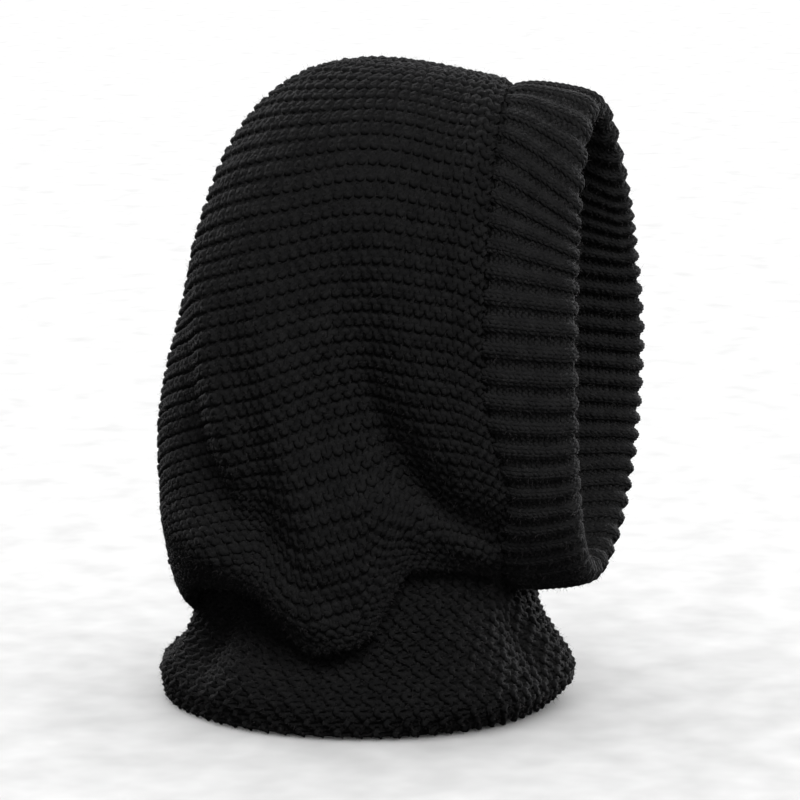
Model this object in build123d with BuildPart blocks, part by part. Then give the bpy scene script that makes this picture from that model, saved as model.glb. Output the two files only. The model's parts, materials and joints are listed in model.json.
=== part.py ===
"""A chunky knitted wool balaclava hood, standing open on its collar, in millimetres.

The wearer faces -Y, the wearer's right side is at -X, and +Z is up. The origin is under the middle of the
hood, on the level that the collar's hem rests on.

The hood panel is a bag that is open at the face and at the neck. A rib strip folded double is linked round
the face, and a flaring collar is linked round the neck. Every join is a row of linking yarn of its own.
"""

import math
import os

from build123d import *

os.makedirs("parts", exist_ok=True)

# Driving dimensions
FABRIC = 5.5  # one layer of the chunky knit
SEAM_WIDTH = 3.0  # of a row of linking yarn
SEAM_SUNK = 1.5  # how far the linking yarn lies below the outside of the knit

FACE_FOLD_Y = -122.0  # the fold at the front of the face band
FACE_SEAM_Y = -66.0  # where the hood panel ends and the face band is linked on
HOOD_BACK_Y = 123.0
CHIN_Z = 61.0  # underside of the hood at the face seam
BROW_Z = 327.0  # top of the hood at the face seam
CROWN_Z = 340.0
HOOD_HALF_WIDTH = 94.0
FACE_HALF_WIDTH = 85.0  # of the hood at the face seam
CROWN_SEAM_BACK_Y = 20.0  # the crown seam runs from the face band over the top, back to here

BAND_FOLD_RADIUS = 5.0
BAND_SLIT = 1.0  # between the two layers of the folded band
BAND_END_SEAM_TOP_Z = 90.0  # the strip's two ends meet under the chin, below here

NECK_Z = 55.0  # underside of the hood panel, where the collar is linked on
NECK_FRONT_Y = -66.0
NECK_BACK_Y = 104.0
NECK_HALF_WIDTH = 73.0
COLLAR_TOP_Z = NECK_Z - SEAM_WIDTH
HEM_HALF_WIDTH = 95.0
SECTION_POINTS = 16  # that a section of the head bag is drawn through

FACE_OVAL = (CHIN_Z, BROW_Z, FACE_HALF_WIDTH)
NECK_OVAL = (NECK_FRONT_Y, NECK_BACK_Y, NECK_HALF_WIDTH)

# The head bag, front to back: depth, underside, top, half width, and how square it is below its middle
HEAD = [
    (FACE_SEAM_Y, *FACE_OVAL, 2.0),
    (-38, CHIN_Z - 3, 334, HOOD_HALF_WIDTH - 3, 4.0),
    (8, CHIN_Z - 4, CROWN_Z, HOOD_HALF_WIDTH, 7.0),
    (48, CHIN_Z - 4, 329, HOOD_HALF_WIDTH - 1, 7.0),
    (80, CHIN_Z - 4, 302, HOOD_HALF_WIDTH - 8, 6.0),
    (103, CHIN_Z - 2, 252, HOOD_HALF_WIDTH - 24, 4.5),
    (115, CHIN_Z + 7, 210, HOOD_HALF_WIDTH - 43, 3.0),
    (121, CHIN_Z + 30, 182, HOOD_HALF_WIDTH - 61, 2.0),
    (HOOD_BACK_Y, CHIN_Z + 56, 156, HOOD_HALF_WIDTH - 82, 2.0),
]
# The collar, upwards from its hem: height, front, back, half width
COLLAR = [
    (0, -96, 113, HEM_HALF_WIDTH - 9),
    (10, -100, 118.5, HEM_HALF_WIDTH - 1),
    (22, -100, 117, HEM_HALF_WIDTH),
    (34, -95, 110, HEM_HALF_WIDTH - 6),
    (44, -84, 105, HEM_HALF_WIDTH - 14),
    (COLLAR_TOP_Z, *NECK_OVAL),
]
# The face band, front to back: depth, underside, top, half width
BAND = [
    (FACE_FOLD_Y, CHIN_Z, BROW_Z - 6, FACE_HALF_WIDTH - 6),
    (-98, CHIN_Z - 1, BROW_Z - 2, FACE_HALF_WIDTH - 2),
    (FACE_SEAM_Y - SEAM_WIDTH, *FACE_OVAL),
]


def upright_oval(y, bottom, top, half_width, inset=0.0):
    """An oval across the hood at depth y, drawn inset inside itself."""
    plane = Plane((0, y, (bottom + top) / 2), x_dir=(1, 0, 0), z_dir=(0, -1, 0))
    with BuildSketch(plane) as oval:
        Ellipse(half_width - inset, (top - bottom) / 2 - inset)
    return oval.sketch


def level_oval(z, front, back, half_width, inset=0.0):
    """An oval round the neck at height z, drawn inset inside itself."""
    with BuildSketch(Plane((0, (front + back) / 2, z))) as oval:
        Ellipse(half_width - inset, (back - front) / 2 - inset)
    return oval.sketch


def head_section(y, bottom, top, half_width, squareness, inset):
    """A section of the head bag: half an ellipse above its middle, a squarer superellipse below it."""
    half_height = (top - bottom) / 2 - inset
    points = []
    for step in range(SECTION_POINTS):
        angle = 2 * math.pi * step / SECTION_POINTS
        power = 2 / (squareness if math.sin(angle) < 0 else 2)
        across = math.copysign(abs(math.cos(angle)) ** power, math.cos(angle))
        up = math.copysign(abs(math.sin(angle)) ** power, math.sin(angle))
        points.append(((half_width - inset) * across, half_height * up))
    plane = Plane((0, y, (bottom + top) / 2), x_dir=(1, 0, 0), z_dir=(0, -1, 0))
    with BuildSketch(plane) as section:
        with BuildLine():
            Spline(*points, periodic=True)
        make_face()
    return section.sketch


def head_sections(inset):
    """The head bag's sections, inset all round and at the back wall."""
    shorter = (HOOD_BACK_Y - inset) / HOOD_BACK_Y
    return [head_section(y * shorter if y > 0 else y, *rest, inset) for y, *rest in HEAD]


def seam_row(low_z, high_z, front_y, back_y):
    """A slab on the middle plane as wide as a seam, as a sketch on XZ at back_y and its length forwards."""
    with BuildSketch(Plane.XZ.offset(-back_y)) as row:
        with Locations((0, (low_z + high_z) / 2)):
            Rectangle(SEAM_WIDTH, high_z - low_z)
    return row.sketch, back_y - front_y


CROWN_ROW = seam_row(BROW_Z - 3 * FABRIC, CROWN_Z, FACE_SEAM_Y, CROWN_SEAM_BACK_Y)
BAND_END_ROW = seam_row(0, BAND_END_SEAM_TOP_Z, FACE_FOLD_Y, FACE_SEAM_Y)
COLLAR_BACK_ROW = seam_row(0, NECK_Z, 0, HOOD_BACK_Y)

# The hood panel: one knitted bag, open at the face and the neck, with the slot that its crown seam closes
with BuildPart() as hood_panel:
    loft(head_sections(0))
    extrude(level_oval(NECK_Z, *NECK_OVAL), amount=2 * FABRIC)
    loft(head_sections(FABRIC), mode=Mode.SUBTRACT)
    extrude(
        level_oval(COLLAR_TOP_Z, *NECK_OVAL, inset=FABRIC),
        amount=SEAM_WIDTH + 3 * FABRIC,
        mode=Mode.SUBTRACT,
    )
    extrude(CROWN_ROW[0], amount=CROWN_ROW[1], mode=Mode.SUBTRACT)

# The crown seam: the row that grafts the panel's two top edges together
with BuildPart() as crown_seam:
    loft(head_sections(SEAM_SUNK))
    loft(head_sections(FABRIC), mode=Mode.SUBTRACT)
    extrude(CROWN_ROW[0], amount=CROWN_ROW[1], mode=Mode.INTERSECT)

# The gap between the two layers of the folded band, which ends behind the fold
with BuildPart() as band_slit:
    fold, *rear = BAND
    slit_ovals = [(FACE_FOLD_Y + FABRIC + BAND_SLIT, *fold[1:]), *rear]
    for inset, mode in ((FABRIC - BAND_SLIT / 2, Mode.ADD), (FABRIC + BAND_SLIT / 2, Mode.SUBTRACT)):
        loft([upright_oval(*section, inset=inset) for section in slit_ovals], mode=mode)

# The face band: a rib strip folded double, with the fold at the front and both long edges at the seam
with BuildPart() as face_band:
    loft([upright_oval(*section) for section in BAND])
    loft([upright_oval(*section, inset=2 * FABRIC) for section in BAND], mode=Mode.SUBTRACT)
    fillet(face_band.faces().sort_by(Axis.Y)[0].edges(), radius=BAND_FOLD_RADIUS)
    add(band_slit.part, mode=Mode.SUBTRACT)
    extrude(BAND_END_ROW[0], amount=BAND_END_ROW[1], mode=Mode.SUBTRACT)

# The end seam under the chin: it joins the strip's two short ends, through both layers
with BuildPart() as face_band_end_seam:
    loft([upright_oval(*section, inset=SEAM_SUNK) for section in BAND])
    loft([upright_oval(*section, inset=2 * FABRIC - SEAM_SUNK) for section in BAND], mode=Mode.SUBTRACT)
    extrude(BAND_END_ROW[0], amount=BAND_END_ROW[1], mode=Mode.INTERSECT)

# The linking round the face: one row of yarn that holds the hood panel and both layers of the band
with BuildPart() as face_band_linking:
    extrude(upright_oval(FACE_SEAM_Y, *FACE_OVAL, inset=SEAM_SUNK), amount=SEAM_WIDTH)
    extrude(
        upright_oval(FACE_SEAM_Y, *FACE_OVAL, inset=2 * FABRIC - SEAM_SUNK),
        amount=SEAM_WIDTH,
        mode=Mode.SUBTRACT,
    )

# The collar: a flaring moss-stitch strip that stands on its hem
with BuildPart() as neck_collar:
    loft([level_oval(*section) for section in COLLAR])
    loft([level_oval(*section, inset=FABRIC) for section in COLLAR], mode=Mode.SUBTRACT)
    extrude(COLLAR_BACK_ROW[0], amount=COLLAR_BACK_ROW[1], mode=Mode.SUBTRACT)

# The collar's back seam: it joins the strip's two short ends
with BuildPart() as collar_back_seam:
    loft([level_oval(*section, inset=SEAM_SUNK / 2) for section in COLLAR])
    loft([level_oval(*section, inset=FABRIC - SEAM_SUNK / 2) for section in COLLAR], mode=Mode.SUBTRACT)
    extrude(COLLAR_BACK_ROW[0], amount=COLLAR_BACK_ROW[1], mode=Mode.INTERSECT)

# The linking round the neck: one row of yarn between the collar's top edge and the hood panel
with BuildPart() as neck_linking:
    extrude(level_oval(COLLAR_TOP_Z, *NECK_OVAL, inset=SEAM_SUNK / 2), amount=SEAM_WIDTH)
    extrude(
        level_oval(COLLAR_TOP_Z, *NECK_OVAL, inset=FABRIC),
        amount=SEAM_WIDTH,
        mode=Mode.SUBTRACT,
    )

PIECES = {
    "hood_panel": hood_panel,
    "crown_seam": crown_seam,
    "face_band": face_band,
    "face_band_end_seam": face_band_end_seam,
    "face_band_linking": face_band_linking,
    "neck_collar": neck_collar,
    "collar_back_seam": collar_back_seam,
    "neck_linking": neck_linking,
}
for name, piece in PIECES.items():
    piece.part.label = name
    export_step(piece.part, f"parts/{name}.step")
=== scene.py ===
"""A chunky black wool balaclava hood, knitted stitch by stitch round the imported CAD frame.

Each panel starts as a smooth middle surface, sculpted into the folds of the empty hood. Its courses are then
laid on that surface as real yarn. Every stitch is a loop that passes through the loop below it, in garter
stitch on the hood, two by two rib on the face band and moss stitch on the collar. Units are millimetres until
a mesh is made, and metres in Blender.
"""

import json
import math

import bpy
import numpy as np
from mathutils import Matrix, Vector

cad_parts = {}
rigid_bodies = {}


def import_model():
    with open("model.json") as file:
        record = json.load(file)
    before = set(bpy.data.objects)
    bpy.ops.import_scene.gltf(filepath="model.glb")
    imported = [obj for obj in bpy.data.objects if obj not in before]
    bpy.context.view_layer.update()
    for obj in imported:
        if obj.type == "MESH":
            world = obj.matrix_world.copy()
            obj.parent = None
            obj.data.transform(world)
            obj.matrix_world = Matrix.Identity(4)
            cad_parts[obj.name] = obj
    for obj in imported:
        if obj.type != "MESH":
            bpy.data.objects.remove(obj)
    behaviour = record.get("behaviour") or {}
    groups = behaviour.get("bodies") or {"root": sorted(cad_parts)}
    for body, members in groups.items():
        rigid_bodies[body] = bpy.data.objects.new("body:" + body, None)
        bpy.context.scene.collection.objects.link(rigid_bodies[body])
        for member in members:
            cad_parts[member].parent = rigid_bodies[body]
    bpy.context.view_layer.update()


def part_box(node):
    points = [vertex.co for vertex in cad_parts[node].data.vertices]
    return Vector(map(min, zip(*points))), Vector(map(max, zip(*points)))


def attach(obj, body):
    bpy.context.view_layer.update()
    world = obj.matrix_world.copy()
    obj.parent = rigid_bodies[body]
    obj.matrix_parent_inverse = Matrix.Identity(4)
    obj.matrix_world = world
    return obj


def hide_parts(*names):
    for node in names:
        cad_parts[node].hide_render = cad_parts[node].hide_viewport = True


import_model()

MM = 0.001
RIGHT, LEFT = -1, 1  # the wearer's sides, as the sign of X
RNG = np.random.default_rng(7)


def cad(node):
    """A CAD node's lowest and highest corners, in millimetres."""
    low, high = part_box(node)
    return np.array(low) / MM, np.array(high) / MM


# ---------------------------------------------------------------- sizes, from the frame
HOOD_LOW, HOOD_HIGH = cad("hood_panel")
BAND_LOW, BAND_HIGH = cad("face_band")
COLLAR_LOW, COLLAR_HIGH = cad("neck_collar")
CROWN_SEAM_BACK_Y = cad("crown_seam")[1][1]

FABRIC = 5.5  # thickness of one layer
SKIN = FABRIC / 2  # from the outside of the knit to its middle surface
SEAM_Y = HOOD_LOW[1]
FOLD_Y = BAND_LOW[1]
BACK_Y = HOOD_HIGH[1]
CROWN_Z = HOOD_HIGH[2]
FACE_MID_Z = (BAND_LOW[2] + BAND_HIGH[2]) / 2
FACE_HALF_HEIGHT = (BAND_HIGH[2] - BAND_LOW[2]) / 2 - SKIN
FACE_HALF_WIDTH = (BAND_HIGH[0] - BAND_LOW[0]) / 2 - SKIN
HOOD_HALF_WIDTH = (HOOD_HIGH[0] - HOOD_LOW[0]) / 2 - SKIN
NECK_HALF_WIDTH = 73 - SKIN  # where the hood panel meets the collar
SEAM_WIDTH = SEAM_Y - BAND_HIGH[1]
FACE_RISE = 3.0  # how far the knit stands above the face opening's even oval, at the brow and the chin
SEAM_DIP = 2.5  # how far the hood panel turns in at the seam round the face
RIB_SLOPE = 0.36  # sets how far round the face the ribs run from the seam to the fold, in radians

# Gauge of the knitting: the hood's stitches are this wide, and the rest are counts
HOOD_STITCH, HOOD_COURSES = 5.45, 88
HOOD_WALES = 90  # of the grid, which is 4 columns to each; the stitches are counted course by course
BAND_RIBS, BAND_COURSES = 56, 29
COLLAR_COURSES, COLLAR_WALES = 132, 14
YARN = 1.42  # the yarn's radius in the plane of the knit
YARN_DEPTH = 1.3  # and through it
PLIES = 3.0  # strands in the yarn
TWIST_LENGTH = 7.0  # of yarn, in which its plies go once round
FIBRE = 0.08  # the width of a loose fibre
STEPS = 12  # centreline points in a stitch
SIDES = 6  # of the yarn's section
MOST_TRIANGLES = 150_000  # in one piece
SPREAD = 7  # stitches at the middle of the back that take up what is left over in a course

# The loops of each stitch pattern: height in courses, how far the legs pinch in, how far the feet and head
# swing through the knit in millimetres, and the share of that by which the legs swing the other way
GARTER_LOOP = (0.95, 0.09, 0.95, 0.0)
RIB_LOOP = (0.8, 0.28, 1.0, 1.0)
MOSS_LOOP = (0.85, 0.04, 1.2, -0.1)


# ---------------------------------------------------------------- lines and grids
def even(line, count):
    """The line again, as count points evenly spaced along it."""
    run = np.concatenate([[0], np.cumsum(np.linalg.norm(np.diff(line, axis=0), axis=1))])
    at = np.linspace(0, run[-1], count)
    return np.stack([np.interp(at, run, line[:, k]) for k in range(line.shape[1])], axis=1)


def curve(points, count):
    """A smooth line through the points (Catmull-Rom), as count points evenly spaced along it."""
    p = np.array(points, float)
    p = np.concatenate([[2 * p[0] - p[1]], p, [2 * p[-1] - p[-2]]])
    t = np.linspace(0, 1, 24, endpoint=False)[:, None]
    spans = []
    for a, b, c, d in zip(p, p[1:], p[2:], p[3:]):
        bend = (2 * a - 5 * b + 4 * c - d) * t**2 + (3 * b - a - 3 * c + d) * t**3
        spans.append(b + ((c - a) * t + bend) / 2)
    return even(np.concatenate([*spans, p[-2:-1]]), count)


def smooth(value, start, end):
    """0 up to start, 1 from end on, and a smooth step between them."""
    t = np.clip((value - start) / (end - start), 0, 1)
    return t * t * (3 - 2 * t)


def sample(grid, up, across):
    """The grid's values at fractions of its two axes, carried straight on past its edges."""
    rows, columns = grid.shape[:2]
    i, j = up * (rows - 1), across * (columns - 1)
    i0 = np.clip(np.floor(i).astype(int), 0, rows - 2)
    j0 = np.clip(np.floor(j).astype(int), 0, columns - 2)
    u, w = (i - i0)[..., None], (j - j0)[..., None]
    low = grid[i0, j0] * (1 - w) + grid[i0, j0 + 1] * w
    high = grid[i0 + 1, j0] * (1 - w) + grid[i0 + 1, j0 + 1] * w
    return low * (1 - u) + high * u


def unit(vectors):
    return vectors / np.maximum(np.linalg.norm(vectors, axis=-1, keepdims=True), 1e-9)


def normals(grid, closed=False):
    """The grid's unit normals. closed is "columns" or "rows" where the last of them repeats the first."""
    up = np.gradient(grid, axis=0)
    across = np.gradient(grid, axis=1)
    if closed == "columns":
        wide = np.concatenate([grid[:, -2:-1], grid, grid[:, 1:2]], axis=1)
        across = np.gradient(wide, axis=1)[:, 1:-1]
    if closed == "rows":
        tall = np.concatenate([grid[-2:-1], grid, grid[1:2]], axis=0)
        up = np.gradient(tall, axis=0)[1:-1]
    return unit(np.cross(up, across))


# ---------------------------------------------------------------- the hood panel's middle surface
NECK_BACK = (98.0, 48.0)
CROWN_FOOT = (CROWN_SEAM_BACK_Y, CROWN_Z - SKIN - 1.5)
BROW = (SEAM_Y, FACE_MID_Z + FACE_HALF_HEIGHT + FACE_RISE)
CHIN = (SEAM_Y, FACE_MID_Z - FACE_HALF_HEIGHT + FACE_RISE)
WIDEST_Y = 8.0

# Side views of the middle plane, as (depth, height): over the crown, up the back, and round the neck
CROWN_LINE = curve([BROW, (-42, 332), (-18, 336), (5, CROWN_Z - SKIN), CROWN_FOOT], 200)
LOW_BACK = [(104, 57), (108, 78), (111.5, 104), (116.5, 136), (113.5, 170), (106.5, 202), (97, 237)]
HIGH_BACK = [(89.5, 263), (80, 291), (66, 312.5), (49, 326.5), (34, 333.5)]
NECK_SHAPE = [(-59, 79), (-40, 84), (-18, 90), (6, 87), (34, 74), (62, 72), (86, 65)]
BACK_LINE = curve([NECK_BACK, *LOW_BACK, *HIGH_BACK, CROWN_FOOT], 400)
NECK_LINE = curve([CHIN, *NECK_SHAPE, NECK_BACK], 400)
FURTHEST = int(np.argmax(BACK_LINE[:, 0]))
UPPER_OUTLINE = np.concatenate([CROWN_LINE, BACK_LINE[::-1][1 : len(BACK_LINE) - FURTHEST]])
UNDERSIDE = [(SEAM_Y, CHIN[1] - 1), (SEAM_Y + 30, 56), (NECK_BACK[0] - 8, 47)]
LOWER_OUTLINE = np.concatenate([UNDERSIDE, BACK_LINE])

# The folds of the empty hood in its side view: points of (depth, height, how far it stands out), and a width
HOLLOW = [(4, 262, 0.0), (-4, 218, -9.0), (-10, 176, -17.0)]  # between the pouch and the face band
HOLLOW += [(-26, 142, -20.0), (-45, 114, -16.0), (-64, 103, -6.0)]
RIGHT_FOLDS = [
    ([(-59, 326, 1.0), (-60, 300, 5.0), (-60, 262, 5.0), (-58, 222, 3.0), (-56, 196, 0.0)], 10),
    ([(90, 230, -1.0), (87, 190, -6.0), (82, 154, -8.0), (68, 130, -9.0), (46, 112, -6.0)], 15),
    ([(84, 256, 0.0), (74, 206, 4.0), (64, 162, 5.5), (54, 128, 4.0), (46, 112, 1.0)], 9),
    ([(50, 256, 0.0), (40, 208, 5.0), (32, 165, 8.0), (22, 128, 9.0), (14, 96, 6.0)], 14),
    (HOLLOW, 16),
    ([(-10, 124, 2.0), (-23, 118, 7.0), (-41, 107, 9.0), (-56, 98, 8.0), (-72, 91, 4.0)], 9),
    ([(97, 104, 1.5), (74, 97, 8.0), (50, 87, 9.0), (26, 70, 7.0), (8, 58, 3.0)], 12),
]
LEFT_FOLDS = [
    ([(-58, 320, 1.0), (-60, 262, 3.5), (-56, 200, 0.0)], 11),
    ([(52, 270, 0.0), (46, 214, -4.0), (30, 160, -6.0), (14, 120, -3.0)], 17),
    ([(20, 250, 0.0), (10, 190, 4.0), (-10, 140, 5.0), (-22, 100, 4.0)], 18),
    ([(-20, 230, 0.0), (-44, 176, -5.0), (-60, 130, -6.0)], 16),
]


def outline_height(line, depth):
    """The outline's height at each depth, up to the line's furthest point back."""
    last = int(np.argmax(line[:, 0])) + 1
    return np.interp(depth, line[:last, 0], line[:last, 1])


def half_width(depth, height):
    """How far the hood reaches to the side at a place in its side view."""
    top = outline_height(UPPER_OUTLINE, depth)
    bottom = outline_height(LOWER_OUTLINE, depth)
    reach = UPPER_OUTLINE[:, 0].max()
    before = np.sin(np.clip((depth - SEAM_Y) / (WIDEST_Y - SEAM_Y), 0, 1) * np.pi / 2)
    behind = np.clip((depth - WIDEST_Y) / (reach - WIDEST_Y), 0, 1)
    widest = (FACE_HALF_WIDTH + (HOOD_HALF_WIDTH - FACE_HALF_WIDTH) * before) * np.sqrt(1 - behind**3.6)
    middle = FACE_MID_Z - 36 * smooth(depth, SEAM_Y, BACK_Y) - 22 * smooth(depth, 80, reach)
    squareness = 2 + 1.6 * smooth(depth, SEAM_Y, 10) - 1.3 * smooth(depth, 60, reach)
    above = height > middle
    q = np.where(above, (height - middle) / (top - middle), (middle - height) / (middle - bottom))
    n = np.where(above, 2.05, squareness)
    return widest * np.clip(1 - np.clip(q, 0, 1) ** n, 0, 1) ** (1 / n)


def fold(grid, side, points, width):
    """The grid with a soft fold on one side of the wearer, sunk where the points' third value is below 0."""
    line = curve(points, 60)
    away = np.hypot(grid[..., 1, None] - line[:, 0], grid[..., 2, None] - line[:, 1])
    share = np.exp(-((away / (width * 0.45)) ** 2)) + 1e-12
    rise = (share * line[:, 2]).sum(axis=-1) / share.sum(axis=-1)
    rise = rise * np.exp(-((away.min(axis=-1) / width) ** 2)) * smooth(side * grid[..., 0], 0, 25)
    return grid + normals(grid) * rise[..., None]


def face_seam_forward(height):
    """The seam of the face band wanders forwards beside the jaw, where the band is pulled narrower."""
    return 11 * np.exp(-(((height - 124) / 34) ** 2))


def arc_spaced(line, fractions):
    """Points of the line at fractions of its length."""
    run = np.concatenate([[0], np.cumsum(np.linalg.norm(np.diff(line, axis=0), axis=1))])
    at = np.asarray(fractions) * run[-1]
    return np.stack([np.interp(at, run, line[:, k]) for k in range(line.shape[1])], axis=-1)


def hood_half(side):
    """One side of the hood panel, from the face seam to the middle of the back, and from neck to crown."""
    s = (1 - np.cos(np.linspace(0, np.pi, 150))) / 2
    v = np.linspace(0, 1, 4 * HOOD_COURSES + 1)
    half_turn = np.linspace(0, np.pi, 600)
    face = np.stack([FACE_HALF_WIDTH * np.sin(half_turn), -FACE_HALF_HEIGHT * np.cos(half_turn)], axis=1)
    rim = arc_spaced(face, v)[:, 1]
    rise = FACE_RISE * (rim / FACE_HALF_HEIGHT) ** 2
    front = np.stack([np.full(v.shape, SEAM_Y), FACE_MID_Z + rim + rise], axis=1)[:, None]
    back = arc_spaced(BACK_LINE, v - 0.17 * np.sin(np.pi * v**0.8) ** 1.5)[:, None]
    neck, crown = arc_spaced(NECK_LINE, s), arc_spaced(CROWN_LINE, s)
    up, along = v[:, None, None], s[:, None]
    view = (1 - up) * neck + up * crown + (1 - along) * front + along * back
    view = view - (1 - up) * ((1 - along) * CHIN + along * NECK_BACK)
    view = view - up * ((1 - along) * BROW + along * CROWN_FOOT)
    v = v[:, None]
    depth, height = view[..., 0], view[..., 1]
    height = height + 11 * np.sin(np.pi * s) * smooth(v, 0.1, 0.5) * (1 - smooth(v, 0.75, 1))
    width = half_width(depth, height)
    middle, reach = (SEAM_Y + NECK_BACK[0]) / 2, (NECK_BACK[0] - SEAM_Y) / 2
    neck_width = NECK_HALF_WIDTH * np.sqrt(np.clip(1 - ((depth - middle) / reach) ** 2, 0, 1))
    under = 0.055 * smooth(s, 0, 0.12) * (1 - smooth(s, 0.85, 1)) + 1e-3
    out = np.sin(np.clip(v / under, 0, 1) * np.pi / 2)
    width = neck_width * (1 - out) + width * out
    if side == RIGHT:
        slack, place, spread = 43, 5, np.where(depth < 5, 25, 30)
    else:
        slack, place, spread = 24, 30, 40
    hang = smooth(v, 0, 0.06) * (1 - smooth(v, 0.1, 0.42))
    pouch = slack * np.exp(-(((depth - place) / spread) ** 4)) * hang
    height = height - pouch
    width = width + 0.05 * pouch
    depth = depth - face_seam_forward(height) * (1 - smooth(depth, SEAM_Y, SEAM_Y + 60))
    return np.stack([side * width, depth, height], axis=-1)


def hood_surface():
    """The hood panel: its courses run from the face round the back of the head to the face again."""
    right, left = hood_half(RIGHT), hood_half(LEFT)
    grid = np.concatenate([right, left[:, -2::-1]], axis=1)
    grid = np.stack([even(row, 4 * HOOD_WALES + 1) for row in grid])
    run = np.cumsum(np.linalg.norm(np.diff(grid, axis=1, prepend=grid[:, :1]), axis=-1), axis=1)
    from_seam = np.minimum(run, run[:, -1:] - run)
    grid = grid - normals(grid) * (SEAM_DIP * np.exp(-((from_seam / 6) ** 2)))[..., None]
    for points, width in RIGHT_FOLDS:
        grid = fold(grid, RIGHT, points, width)
    for points, width in LEFT_FOLDS:
        grid = fold(grid, LEFT, points, width)
    return grid


# ---------------------------------------------------------------- the face band's middle surface
# The doubled band in section: how far forward, as a share of the way from seam to fold, and how far in
BAND_SECTION = [(0, 2.6), (0.1, 0.6), (0.3, -0.8), (0.6, -0.8), (0.86, 0.4), (0.97, 2.8), (1.0, 5.6)]
BAND_SECTION += [(0.96, 8.6), (0.85, 10.2), (0.5, 10.0), (0.12, 9.4), (0, 8.8)]


def band_surface():
    """The face band: its wales run from the seam over the fold at the front and back along the inside."""
    fine = np.linspace(0, 2 * np.pi, 2000)
    oval = np.stack([FACE_HALF_WIDTH * np.sin(fine), FACE_HALF_HEIGHT * np.cos(fine)], axis=1)
    oval = even(oval, 8 * BAND_RIBS + 1) / (FACE_HALF_WIDTH, FACE_HALF_HEIGHT)
    start = np.unwrap(np.arctan2(oval[:, 0], oval[:, 1]))
    rows = []
    for forward, inset in curve(BAND_SECTION, 90):
        slope = np.abs(np.sin(2 * start)) * np.cos(start) ** 2
        # The ribs of the upper half slope the most, and the other way from those of the lower half
        sense = np.sign(np.sin(start)) * np.where(np.cos(start) < 0, -1, 0.3)
        turn = start + RIB_SLOPE * forward * slope * sense
        up = -np.cos(turn)
        height = FACE_MID_Z + FACE_HALF_HEIGHT * up
        seam_y = SEAM_Y - SEAM_WIDTH / 2 - face_seam_forward(height)
        fold_y = FOLD_Y + YARN_DEPTH * 1.5 + 2.5 + 6.2 * np.sin(turn) + 3.5 * up**2
        fold_y = fold_y + np.clip(up, 0, 1) * (2.5 + 5 * np.clip(-np.sin(turn), 0, 1))
        depth = seam_y + (fold_y - seam_y) * forward
        lean = (depth - SEAM_Y) / (FOLD_Y - SEAM_Y)
        across = FACE_HALF_WIDTH - 6 * lean - inset
        high = FACE_HALF_HEIGHT - 3 * lean - inset
        z = FACE_MID_Z - 3 * lean + high * up + FACE_RISE * up**2 + 5 * lean * np.clip(-up, 0, 1) ** 2
        rows.append(np.stack([-across * np.sin(turn), depth, z], axis=-1))
    grid = np.stack(rows)
    return np.stack([even(grid[:, j], 3 * BAND_COURSES + 1) for j in range(grid.shape[1])], axis=1)


# ---------------------------------------------------------------- the collar's middle surface
# Its folds: which way they face, in degrees from the back by the wearer's left, how high, how wide both ways,
# and how far they stand out
COLLAR_FOLDS = [
    (200, 42, 9, 22, -8.0),
    (188, 40, 7, 18, 3.0),
    (232, 60, 22, 16, 3.0),
    (262, 30, 20, 14, -3.5),
    (290, 46, 34, 14, -6.0),
    (300, 34, 9, 16, 4.0),
    (316, 36, 8, 16, -6.0),
    (334, 34, 10, 16, 5.0),
    (352, 36, 10, 12, -2.5),
    (40, 34, 18, 16, 3.0),
    (75, 36, 16, 16, -3.0),
    (120, 32, 20, 18, 3.0),
    (160, 40, 12, 16, -3.0),
    (167, 58, 15, 7, 4.5),
]


def collar_surface(neck):
    """The collar, hung from the hood panel's neck edge: round it from the back, and down to the hem."""
    turn = np.linspace(0, 2 * np.pi, 4 * COLLAR_COURSES + 1)
    middle = (COLLAR_LOW + COLLAR_HIGH) / 2
    half = (COLLAR_HIGH - COLLAR_LOW) / 2 - SKIN

    def oval(height, inset):
        x, y = (half[0] - inset) * np.sin(turn), middle[1] + (half[1] - inset) * np.cos(turn)
        return np.stack([x, y, np.full_like(x, height)], axis=-1)

    back = len(neck) // 2
    loop = even(np.concatenate([neck[back:], neck[1 : back + 1]]), len(turn))
    tucked = 15 * (1 - np.cos(turn)) ** 2 / 4
    bulge, low, hem = oval(20, -1), oval(8, -1 + 0.5 * tucked), oval(YARN + 0.2, tucked)
    tuck = loop * 0.86 + oval(0, 0) * 0.14
    tuck[:, 2] = loop[:, 2] * 0.84 + 16 * 0.16
    ahead = (1 - np.cos(turn[:, None])) / 2
    reach = 0.3 + 0.25 * ahead
    waist = loop * (1 - reach) + bulge * reach
    waist[:, 2] = loop[:, 2] * 0.42 + bulge[:, 2] * 0.58 - 2 + 5 * ahead[:, 0]
    fall = zip(loop, tuck, waist, bulge, low, hem)
    grid = np.stack([curve(points, 4 * COLLAR_WALES + 1) for points in fall])
    grid[-1] = grid[0]
    facing = normals(grid, "rows")
    facing[..., 2] = 0
    rise = np.zeros(grid.shape[:2])
    for degrees, height, wide, tall, out in COLLAR_FOLDS:
        off = (np.degrees(turn) - degrees + 180) % 360 - 180
        bump = np.exp(-((off[:, None] / wide) ** 2) - ((grid[..., 2] - height) / tall) ** 2)
        rise = rise + out * bump
    free = smooth(np.arange(grid.shape[1]) / grid.shape[1], 0, 0.25)
    return grid + unit(facing) * (rise * free)[..., None]


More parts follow.
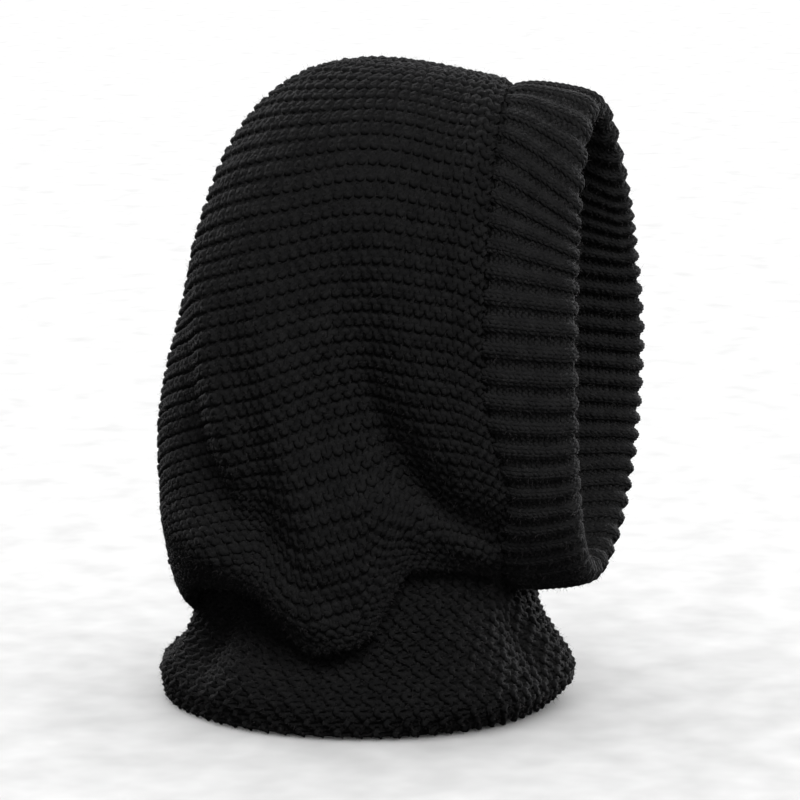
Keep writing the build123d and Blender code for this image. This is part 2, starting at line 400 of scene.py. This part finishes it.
# ---------------------------------------------------------------- yarn
def strand_mesh(centres, outward, radius, depth_radius, closed=False):
    """Tubes along rows of centreline points: their vertices, their quads and the yarn's own coordinates."""
    if closed:
        ahead, behind = np.roll(centres, -1, axis=1), np.roll(centres, 1, axis=1)
        along = unit(ahead - behind)
    else:
        along = unit(np.gradient(centres, axis=1))
    out = unit(outward - (outward * along).sum(axis=-1, keepdims=True) * along)
    beside = np.cross(along, out)
    turn = np.linspace(0, 2 * np.pi, SIDES, endpoint=False)
    ring = np.cos(turn)[:, None] * (radius[..., None, None] * beside[:, :, None])
    ring = ring + np.sin(turn)[:, None] * (depth_radius[..., None, None] * out[:, :, None])
    points = centres[:, :, None] + ring
    rows, count = centres.shape[:2]
    step = np.linalg.norm(np.diff(centres, axis=1), axis=-1)
    run = np.concatenate([np.zeros((rows, 1)), np.cumsum(step, axis=1)], axis=1)
    own = np.stack(np.broadcast_arrays(np.cos(turn), np.sin(turn), run[..., None]), axis=-1)
    index = np.arange(rows * count * SIDES).reshape(rows, count, SIDES)
    here, there = (index, np.roll(index, -1, axis=1)) if closed else (index[:, :-1], index[:, 1:])
    quads = np.stack([here, np.roll(here, -1, axis=2), np.roll(there, -1, axis=2), there], axis=-1)
    quads = quads.reshape(-1, 4)
    if not closed:
        caps = []
        for k in range(0, SIDES - 2, 2):
            corners = [0, k + 1, k + 2, k + 3 if k + 3 < SIDES else 0]
            caps.append(index[:, 0][:, corners])
            caps.append(index[:, -1][:, corners[::-1]])
        quads = np.concatenate([quads, *caps])
    return points.reshape(-1, 3), quads, own.reshape(-1, 3)


def mesh_piece(name, points, faces, material, node, own=None):
    """A smooth-shaded mesh from arrays in millimetres, shown in place of the node's solid."""
    mesh = bpy.data.meshes.new(name)
    mesh.vertices.add(len(points))
    mesh.vertices.foreach_set("co", (points * MM).astype(np.float32).ravel())
    mesh.loops.add(faces.size)
    mesh.loops.foreach_set("vertex_index", faces.astype(np.int32).ravel())
    mesh.polygons.add(len(faces))
    mesh.polygons.foreach_set("loop_start", np.arange(0, faces.size, faces.shape[1], dtype=np.int32))
    mesh.polygons.foreach_set("use_smooth", np.ones(len(faces), dtype=bool))
    if own is not None:
        layer = mesh.attributes.new("yarn", "FLOAT_VECTOR", "POINT")
        layer.data.foreach_set("vector", own.astype(np.float32).ravel())
    mesh.update(calc_edges=True)
    mesh.validate()
    mesh.materials.append(material)
    piece = bpy.data.objects.new(name, mesh)
    bpy.context.scene.collection.objects.link(piece)
    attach(piece, "root")
    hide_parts(node)
    return piece


def grid_piece(name, grid, material, node):
    """The middle surface itself, as a near-black sheet of painted shade behind the yarn, seen in the gaps
    between stitches.
    """
    rows, columns = grid.shape[:2]
    index = np.arange(rows * columns).reshape(rows, columns)
    quads = np.stack([index[:-1, :-1], index[:-1, 1:], index[1:, 1:], index[1:, :-1]], axis=-1).reshape(-1, 4)
    return mesh_piece(name, grid.reshape(-1, 3), quads, material, node)


def course(surface, facing, row, rows, places, this, above, shape, relief=None, closed=False):
    """One course: its centreline points and their outward directions.

    places are the sides of its stitches, as fractions across the panel. this and above are 1 where its
    stitches and the ones on them are knitted as seen from outside, and -1 where they are purled. A stitch's
    feet lie behind the legs of the stitch below, and its head behind the legs of the stitch above, or the
    other way round if purled.
    """
    height, pinch, swing, legs = shape
    count = len(this)
    tau = np.linspace(0, 2 * np.pi, STEPS, endpoint=False)
    c = np.arange(count)[:, None]
    before, after = np.roll(this, 1)[:, None], np.roll(this, -1)[:, None]
    if not closed:
        before[0], after[-1] = this[0], this[-1]
    near_start = np.clip(1 - tau / (np.pi * 0.22), 0, 1) / 2
    near_end = np.clip(1 - (2 * np.pi - tau) / (np.pi * 0.22), 0, 1) / 2
    own = this[:, None] * (1 - near_start - near_end) + before * near_start + after * near_end
    upper = smooth(np.minimum(tau, 2 * np.pi - tau), np.pi * 0.4, np.pi * 0.6)
    sign = own * (1 - upper) + above[:, None] * upper
    slip = RNG.normal(0, 1, (3, count, 1)) * np.sin(tau / 2) ** 2
    stitch = c + tau / (2 * np.pi) + pinch * np.sin(2 * tau) + 0.03 * slip[0]
    x = np.interp(stitch, np.arange(count + 1), places)
    squared = (np.cos(tau) - 0.11 * np.cos(3 * tau)) / 0.89
    y = (row + 0.5 - height * squared + 0.05 * slip[1]) / rows
    through = np.cos(2 * tau)
    out = -swing * np.where(through > 0, through, legs * through) * sign + 0.22 * slip[2]
    if relief is not None:
        out = out + relief(x, y)
    y = np.mod(y, 1.0) if closed == "rows" else np.minimum(y, 1.0)
    x, y, out = x.ravel(), y.ravel(), out.ravel()
    outward = unit(sample(facing, y, x))
    return sample(surface, y, x) + outward * out[:, None], outward


def knit(name, lines, material, node, closed=False, yarn=1.0, swell=0.0):
    """The courses as yarn, yarn times the usual thickness, in pieces small enough to export whole."""
    total = sum(len(centres) for centres, _ in lines) * SIDES * 2
    parts = math.ceil(total / MOST_TRIANGLES)
    pieces = []
    for k, group in enumerate(np.array_split(np.arange(len(lines)), parts)):
        points, quads, own, used = [], [], [], 0
        for line in group:
            centres, outward = lines[line]
            coarse = RNG.normal(0, 0.05, len(centres) // 6 + 2)
            step = np.arange(len(centres))
            uneven = np.interp(step / 6, np.arange(len(coarse)), coarse)
            size = yarn * (1 + swell * np.cos(4 * np.pi * step / STEPS) + uneven)
            size = size[None]
            mesh = strand_mesh(centres[None], outward[None], YARN * size, YARN_DEPTH * size, closed)
            points.append(mesh[0])
            quads.append(mesh[1] + used)
            own.append(mesh[2] + np.array([0, 0, 1.0]) * RNG.uniform(0, 40))
            used += len(mesh[0])
        arrays = [np.concatenate(part) for part in (points, quads, own)]
        pieces.append(mesh_piece(f"{name}_{k + 1}", arrays[0], arrays[1], material, node, arrays[2]))
    return pieces


def overcast(name, line, facing, radius, pitch, node):
    """Yarn wound over a seam: a helix of the given radius and pitch round the line."""
    steps = 14
    length = np.linalg.norm(np.diff(line, axis=0), axis=1).sum()
    turns = round(length / pitch)
    count = turns * steps + 1
    at = np.linspace(0, 1, count)
    place = np.linspace(0, 1, len(line))
    centre = np.stack([np.interp(at, place, line[:, k]) for k in range(3)], axis=1)
    out = unit(np.stack([np.interp(at, place, facing[:, k]) for k in range(3)], axis=1))
    along = unit(np.gradient(centre, axis=0))
    beside = np.cross(along, out)
    angle = at * turns * 2 * np.pi
    radial = np.cos(angle)[:, None] * beside + np.sin(angle)[:, None] * out
    size = np.full((1, count), YARN)
    mesh = strand_mesh((centre + radius * radial)[None], unit(radial)[None], size, size * 0.9)
    mesh_piece(name, mesh[0], mesh[1], linking_wool, node, mesh[2])


# ---------------------------------------------------------------- materials
def shaded(name, roughness):
    """A new material without gloss: itself, its nodes, its links and its shader."""
    material = bpy.data.materials.new(name)
    material.use_nodes = True
    nodes, links = material.node_tree.nodes, material.node_tree.links
    shader = nodes["Principled BSDF"]
    shader.inputs["Roughness"].default_value = roughness
    shader.inputs["Specular IOR Level"].default_value = 0.0
    return material, nodes, links, shader


def wool(name, shade):
    """Near-black wool yarn: plies twisted round each other, fine fibre across them, and a mottled shade."""
    material, nodes, links, shader = shaded(name, 0.95)

    def maths(operation, *values):
        """The result of a maths node. Each value is a number or another node's output."""
        node = nodes.new("ShaderNodeMath")
        node.operation = operation
        for socket, value in zip(node.inputs, values):
            if isinstance(value, bpy.types.NodeSocket):
                links.new(value, socket)
            else:
                socket.default_value = value
        return node.outputs[0]

    def noise(scale, detail, roughness=0.5):
        node = nodes.new("ShaderNodeTexNoise")
        node.inputs["Scale"].default_value = scale
        node.inputs["Detail"].default_value = detail
        node.inputs["Roughness"].default_value = roughness
        links.new(place.outputs["Object"], node.inputs["Vector"])
        return node.outputs["Fac"]

    place = nodes.new("ShaderNodeTexCoord")
    attribute = nodes.new("ShaderNodeAttribute")
    attribute.attribute_name = "yarn"
    apart = nodes.new("ShaderNodeSeparateXYZ")
    links.new(attribute.outputs["Vector"], apart.inputs["Vector"])
    round_it = maths("ARCTAN2", apart.outputs["Y"], apart.outputs["X"])
    twist = maths("ADD", round_it, maths("MULTIPLY", apart.outputs["Z"], 2 * math.pi / TWIST_LENGTH))
    plies = maths("SINE", maths("MULTIPLY", twist, PLIES))
    fibres, patches = noise(2600, 3, 0.65), noise(150, 2)

    bump = nodes.new("ShaderNodeBump")
    bump.inputs["Strength"].default_value = 0.55
    bump.inputs["Distance"].default_value = 0.0004
    links.new(maths("MULTIPLY_ADD", plies, 0.35, fibres), bump.inputs["Height"])
    links.new(bump.outputs["Normal"], shader.inputs["Normal"])

    ramp = nodes.new("ShaderNodeValToRGB")
    ramp.color_ramp.elements[0].position = 0.3
    ramp.color_ramp.elements[0].color = (shade * 0.55, shade * 0.55, shade * 0.58, 1)
    ramp.color_ramp.elements[1].position = 0.7
    ramp.color_ramp.elements[1].color = (shade * 1.6, shade * 1.6, shade * 1.62, 1)
    links.new(maths("MULTIPLY_ADD", fibres, 0.6, maths("MULTIPLY", patches, 0.4)), ramp.inputs["Fac"])
    links.new(ramp.outputs["Color"], shader.inputs["Base Color"])
    return material


def plain(name, colour, roughness):
    """A matt material with a faint mottle."""
    material, nodes, links, shader = shaded(name, roughness)
    noise = nodes.new("ShaderNodeTexNoise")
    noise.inputs["Scale"].default_value = 900
    ramp = nodes.new("ShaderNodeValToRGB")
    ramp.color_ramp.elements[0].color = (*[c * 0.8 for c in colour], 1)
    ramp.color_ramp.elements[1].color = (*[c * 1.2 for c in colour], 1)
    links.new(noise.outputs["Fac"], ramp.inputs["Fac"])
    links.new(ramp.outputs["Color"], shader.inputs["Base Color"])
    return material


# Far darker than real black wool, which is about 0.02 to 0.04: the studio's lamps are very strong to suit
hood_wool = wool("hood_wool", 0.0018)
rib_wool = wool("rib_wool", 0.002)
# The collar's yarn is the hood's wool made darker: painted shade for the hood's overhang above it.
moss_wool_painted_shade = wool("moss_wool_painted_shade", 0.0015)
linking_wool = wool("linking_wool", 0.00185)
# Loose fibres are the same wool, made lighter than the yarn as painted sheen.
loose_wool_painted_sheen = plain("loose_wool_painted_sheen", (0.0098, 0.0092, 0.0094), 0.95)
# Painted shade: a near-black sheet under each knit stands for the shade seen in the gaps between stitches.
gap_shade = plain("knit_gap_shade", (0.0008, 0.0008, 0.0008), 0.95)


def fuzz(name, lines, count, node):
    """Short loose fibres that stand out of the yarn, each a narrow bent strip, lighter than the yarn as
    painted sheen.
    """
    centres = np.concatenate([line[0] for line in lines])
    outward = np.concatenate([line[1] for line in lines])
    picked = RNG.integers(0, len(centres), count)
    out, sway, bend = outward[picked], RNG.normal(0, 1, (count, 3)), RNG.normal(0, 1, (count, 3))
    root = centres[picked] + unit(out + 0.7 * sway) * YARN_DEPTH * 0.9
    length = np.minimum(RNG.gamma(4, 0.65, (count, 1)), 4.0)
    first = unit(out * 0.9 + 0.8 * sway)
    second = unit(first + 0.8 * bend)
    across = unit(np.cross(first, bend)) * FIBRE / 2
    spine = np.stack([root, root + first * length / 2, root + (first + second) * length / 2], axis=1)
    taper = np.array([1.0, 0.8, 0.2])[None, :, None]
    points = np.stack([spine - across[:, None] * taper, spine + across[:, None] * taper], axis=2)
    start = np.arange(count)[:, None] * 6
    quads = np.concatenate([start + (0, 1, 3, 2), start + (2, 3, 5, 4)])
    return mesh_piece(name, points.reshape(-1, 3), quads, loose_wool_painted_sheen, node)


# ---------------------------------------------------------------- the three panels
hood_grid = hood_surface()
band_grid = band_surface()
collar_grid = collar_surface(hood_grid[0])
hood_out = normals(hood_grid)
band_out = normals(band_grid, "columns")
collar_out = normals(collar_grid, "rows")


def garter_relief(x, y):
    """Garter ridges stand proud of the furrows between them."""
    return 0.9 * np.cos(np.pi * (y * HOOD_COURSES - 1.0))


hood_lines = []
for row in range(HOOD_COURSES):
    across = hood_grid[round((row + 0.5) / HOOD_COURSES * (len(hood_grid) - 1))]
    length = np.linalg.norm(np.diff(across, axis=0), axis=1).sum()
    half = round(length / 2 / HOOD_STITCH)
    ridge = np.full(2 * half, 1.0 if row % 2 == 0 else -1.0)
    from_seam = np.arange(half + 1) * HOOD_STITCH / length
    from_seam[-SPREAD:] = np.linspace(from_seam[-SPREAD], 0.5, SPREAD)
    places = np.concatenate([from_seam, 1 - from_seam[-2::-1]])
    knitted = (places, ridge, -ridge, GARTER_LOOP, garter_relief)
    hood_lines.append(course(hood_grid, hood_out, row, HOOD_COURSES, *knitted))
hood_yarn = knit("hood_knit", hood_lines, hood_wool, "hood_panel", yarn=1.24, swell=0.14)
for part in (1, 2):
    hood_yarn.append(fuzz(f"hood_fuzz_{part}", hood_lines, 47000, "hood_panel"))
hood_gap_shade = grid_piece("hood_gap_shade", hood_grid[::2, ::2], gap_shade, "hood_panel")

rib_wales = 4 * BAND_RIBS
knit_pair = (np.arange(rib_wales) % 4) < 2
rib = np.where(knit_pair, 1.0, -1.0)
KNIT_WALE, PURL_WALE = 3.3, 2.9
middle_turn = (np.arange(rib_wales) + 0.5) / rib_wales * 2 * np.pi
# The wales are wider on the wearer's right and narrower on the left
stretch = 1 + 0.09 * np.sin(middle_turn) * np.sin(middle_turn) ** 2
rib_places = np.concatenate([[0], np.cumsum(np.where(knit_pair, KNIT_WALE, PURL_WALE) * stretch)])
rib_places = rib_places / rib_places[-1]


def rib_relief(x, y):
    """The knitted pairs stand up as ribs, and the purled pairs sink between them."""
    wale = np.interp(x, rib_places, np.arange(rib_wales + 1)) % 4
    away = np.minimum(np.abs(wale - 1), 4 - np.abs(wale - 1))
    return -0.2 + 1.35 * np.cos(np.pi * away / 2)


band_lines = []
for row in range(BAND_COURSES):
    knitted = (rib_places, rib, rib, RIB_LOOP, rib_relief, "columns")
    band_lines.append(course(band_grid, band_out, row, BAND_COURSES, *knitted))
band_yarn = knit("band_knit", band_lines, rib_wool, "face_band", closed=True, yarn=0.88)
band_yarn.append(fuzz("band_fuzz", band_lines, 45000, "face_band"))
band_gap_shade = grid_piece("band_gap_shade", band_grid, gap_shade, "face_band")


def moss_relief(x, y):
    """The purl bumps of moss stitch stand proud, one over each purled stitch."""
    return -0.9 * np.sin(np.pi * x * COLLAR_WALES) * np.cos(np.pi * y * COLLAR_COURSES)


collar_lines = []
places = np.linspace(0, 1, COLLAR_WALES + 1)
for row in range(COLLAR_COURSES):
    moss = np.where((np.arange(COLLAR_WALES) + row) % 2 == 0, 1.0, -1.0)
    knitted = (places, moss, -moss, MOSS_LOOP, moss_relief, "rows")
    collar_lines.append(course(collar_grid, collar_out, row, COLLAR_COURSES, *knitted))
collar_yarn = knit("collar_knit", collar_lines, moss_wool_painted_shade, "neck_collar", yarn=1.1, swell=0.2)
collar_yarn.append(fuzz("collar_fuzz", collar_lines, 36000, "neck_collar"))
collar_gap_shade = grid_piece("collar_gap_shade", collar_grid, gap_shade, "neck_collar")


# ---------------------------------------------------------------- the seams
crown_edge = hood_grid[-1]
first, last = 8, len(crown_edge) // 2 + 1  # from just clear of the face seam to the crown seam's back end
crown_line = (crown_edge[first:last] + crown_edge[::-1][first:last]) / 2
up_and_back = np.stack([0 * crown_line[:, 0], crown_line[:, 1] * 0.6, crown_line[:, 2] - 180], axis=1)
overcast("crown_overcast", crown_line, unit(up_and_back), 1.5, 5.2, "crown_seam")

face_line = band_grid[0] + np.array([0, 1.4, 0])
overcast("face_linking", face_line, band_out[0], 1.3, 5.6, "face_band_linking")
outer = slice(len(band_grid) // 2)  # the band's outer layer
overcast("band_end_sewing", band_grid[outer, 0], band_out[outer, 0], 1.2, 5.0, "face_band_end_seam")

overcast("neck_linking_yarn", collar_grid[:, 0], collar_out[:, 0], 1.3, 5.4, "neck_linking")
overcast("collar_sewing", collar_grid[0], collar_out[0], 1.2, 5.0, "collar_back_seam")


# ---------------------------------------------------------------- the sheets
def flat_knit(grid):
    """A knitted sheet laid flat: its widest row and its mean column, and its area, in metres."""
    rows = np.linalg.norm(np.diff(grid, axis=1), axis=2).sum(axis=1) * MM
    columns = np.linalg.norm(np.diff(grid, axis=0), axis=2).sum(axis=0) * MM
    size = (round(float(rows.max()), 3), round(float(columns.mean()), 3))
    return size, round(float(rows.mean() * columns.mean()), 4)


# The collar is knitted sideways, so its long way runs down the grid
collar_flat, collar_area = flat_knit(collar_grid.transpose(1, 0, 2))


# ---------------------------------------------------------------- the studio
def aimed(thing, place, target):
    """Puts the thing at a place, turned to look at the target."""
    thing.location = place
    thing.rotation_euler = (Vector(target) - Vector(place)).to_track_quat("-Z", "Y").to_euler()


def lamp(name, toward, angle, strength, receivers):
    """A soft, far-off light that falls on the receivers alone, so that the paper keeps no shadow of them."""
    light = bpy.data.lights.new(name, "SUN")
    light.angle = math.radians(angle)
    light.energy = strength
    thing = bpy.data.objects.new(name, light)
    bpy.context.scene.collection.objects.link(thing)
    aimed(thing, toward, (0, 0, 0))
    thing.light_linking.receiver_collection = receivers


all_pieces = bpy.data.collections.new("all_pieces")
band_pieces = bpy.data.collections.new("band_pieces")
for piece in bpy.context.scene.objects:
    if piece.type == "MESH":
        all_pieces.objects.link(piece)
for piece in (*band_yarn, band_gap_shade):
    band_pieces.objects.link(piece)

PAPER = 15.0  # half the floor's width, in metres
floor_mesh = bpy.data.meshes.new("floor")
corners = [(-PAPER, -PAPER, 0), (PAPER, -PAPER, 0), (PAPER, PAPER, 0), (-PAPER, PAPER, 0)]
floor_mesh.from_pydata(corners, [], [(0, 1, 2, 3)])
floor_mesh.materials.append(plain("paper", (0.8, 0.8, 0.8), 0.9))
floor = bpy.data.objects.new("floor", floor_mesh)
bpy.context.scene.collection.objects.link(floor)

lamp("key", (-0.7, -0.34, 0.95), 30, 16.0, all_pieces)
lamp("fill", (-1.0, -0.6, 0.15), 70, 3.0, all_pieces)
lamp("back", (0.9, 0.85, 0.62), 50, 165.0, all_pieces)
lamp("front", (1.0, -0.78, 0.12), 40, 215.0, all_pieces)
lamp("rim", (-0.62, -1.0, 0.3), 50, 4.0, band_pieces)

world = bpy.data.worlds.new("studio")
bpy.context.scene.world = world
world.use_nodes = True
world.node_tree.nodes["Background"].inputs["Color"].default_value = (1, 1, 1, 1)
world.node_tree.nodes["Background"].inputs["Strength"].default_value = 1.3
bpy.context.scene.view_settings.view_transform = "Standard"

camera = bpy.data.cameras.new("camera")
camera.lens = 163
camera.sensor_width = 36
camera.clip_end = 20
viewer = bpy.data.objects.new("camera", camera)
bpy.context.scene.collection.objects.link(viewer)
target = Vector((0, -0.0078, 0.1605))
azimuth, elevation, distance = math.radians(-78), math.radians(10.6), 1.9
toward = Vector(
    (math.sin(azimuth) * math.cos(elevation), -math.cos(azimuth) * math.cos(elevation), math.sin(elevation))
)
aimed(viewer, target + toward * distance, target)
bpy.context.scene.camera = viewer
